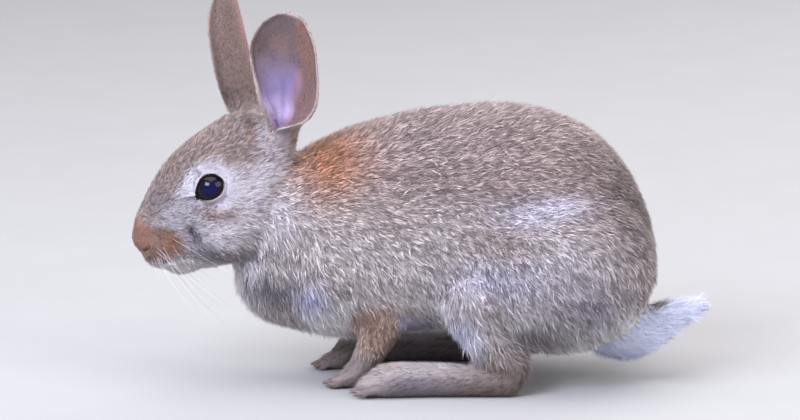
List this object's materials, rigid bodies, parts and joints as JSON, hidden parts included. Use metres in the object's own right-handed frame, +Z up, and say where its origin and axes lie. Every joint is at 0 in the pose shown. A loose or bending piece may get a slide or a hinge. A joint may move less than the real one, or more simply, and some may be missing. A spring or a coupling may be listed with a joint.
{
  "type": "rabbit",
  "caption": "Young wild rabbit at life size, crouched on all fours with its ears up, as a still museum-style model.",
  "frame": {"origin": "on the floor, under the middle of the model's box", "axes": "+Z up, the rabbit faces -Y, its left side is +X"},
  "size_m": [0.112, 0.2762, 0.1905],
  "materials": {
    "agouti_fur": "dense grey-brown fur with dark-tipped hairs, rufous nape and pale belly",
    "ear_fur": "short brown fur outside, thin pinkish skin inside",
    "foot_fur": "short cream-grey fur",
    "tail_fur": "soft white fur below, dark brown above",
    "eye": "glossy dark brown, opaque",
    "claw": "dark horn, slightly glossy"
  },
  "bodies": {
    "root": {"head": "agouti_fur", "neck": "agouti_fur", "trunk": "agouti_fur", "tail": "tail_fur", "ear_left": "ear_fur", "ear_right": "ear_fur", "eye_left": "eye", "eye_right": "eye", "foreleg_left": "agouti_fur", "foreleg_right": "agouti_fur", "forefoot_left": "foot_fur", "forefoot_right": "foot_fur", "haunch_left": "agouti_fur", "haunch_right": "agouti_fur", "hindfoot_left": "foot_fur", "hindfoot_right": "foot_fur", "claw_hind_left_1": "claw", "claw_hind_left_2": "claw", "claw_hind_left_3": "claw", "claw_hind_left_4": "claw", "claw_hind_right_1": "claw", "claw_hind_right_2": "claw", "claw_hind_right_3": "claw", "claw_hind_right_4": "claw", "claw_fore_left_1": "claw", "claw_fore_left_2": "claw", "claw_fore_left_3": "claw", "claw_fore_left_4": "claw", "claw_fore_right_1": "claw", "claw_fore_right_2": "claw", "claw_fore_right_3": "claw", "claw_fore_right_4": "claw"}
  },
  "joints": []
}
